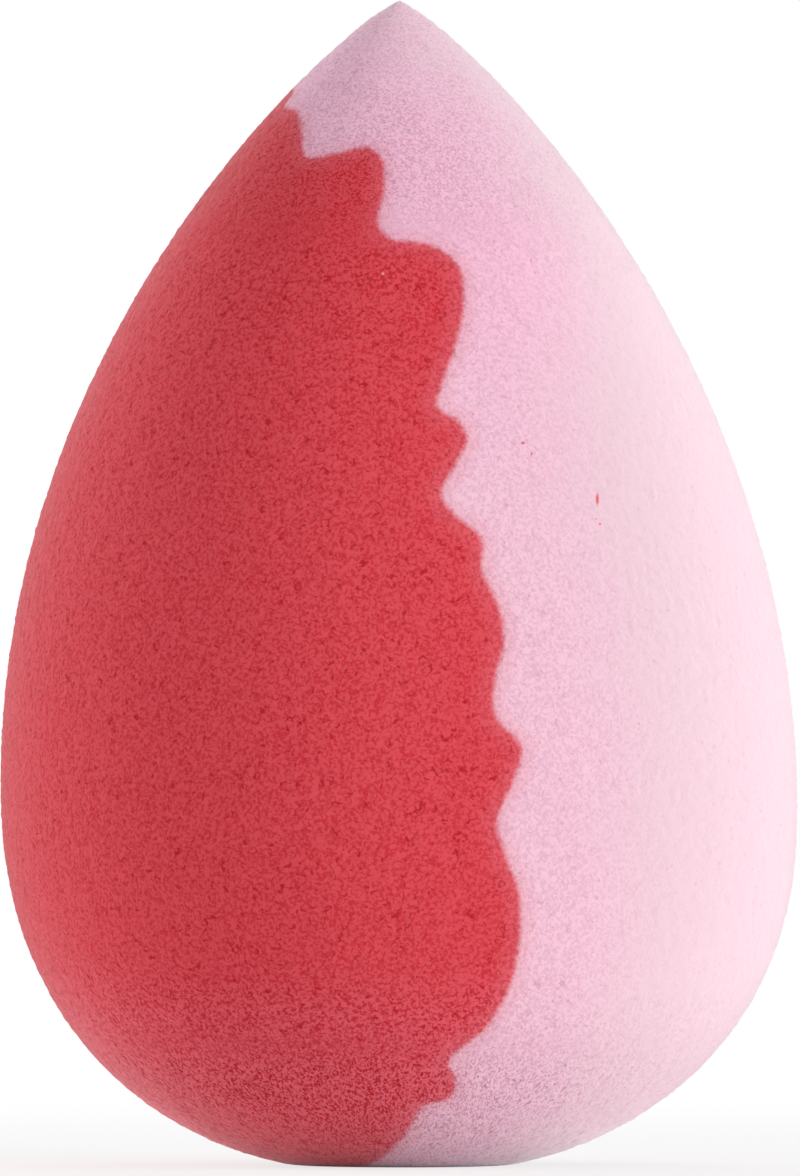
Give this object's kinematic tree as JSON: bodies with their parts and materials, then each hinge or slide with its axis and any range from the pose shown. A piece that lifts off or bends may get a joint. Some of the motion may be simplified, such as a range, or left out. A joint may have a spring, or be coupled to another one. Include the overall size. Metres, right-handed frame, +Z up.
{
  "type": "makeup sponge",
  "caption": "Teardrop sponge of soft fine-pored foam for blending makeup, red on one side, pale pink on the other and at the pointed tip, with a wavy border between and a small flat foot.",
  "frame": {"origin": "centre of the flat foot, on the surface that the sponge stands on", "axes": "+Z up through the tip, -Y out of the front that the picture shows, -X on the red foam's side"},
  "size_m": [0.041, 0.041, 0.06],
  "materials": {
    "red_foam": "matt fine-pored foam",
    "pink_foam": "matt fine-pored foam"
  },
  "bodies": {
    "root": {"red_foam": "red_foam", "pink_foam": "pink_foam"}
  },
  "joints": []
}
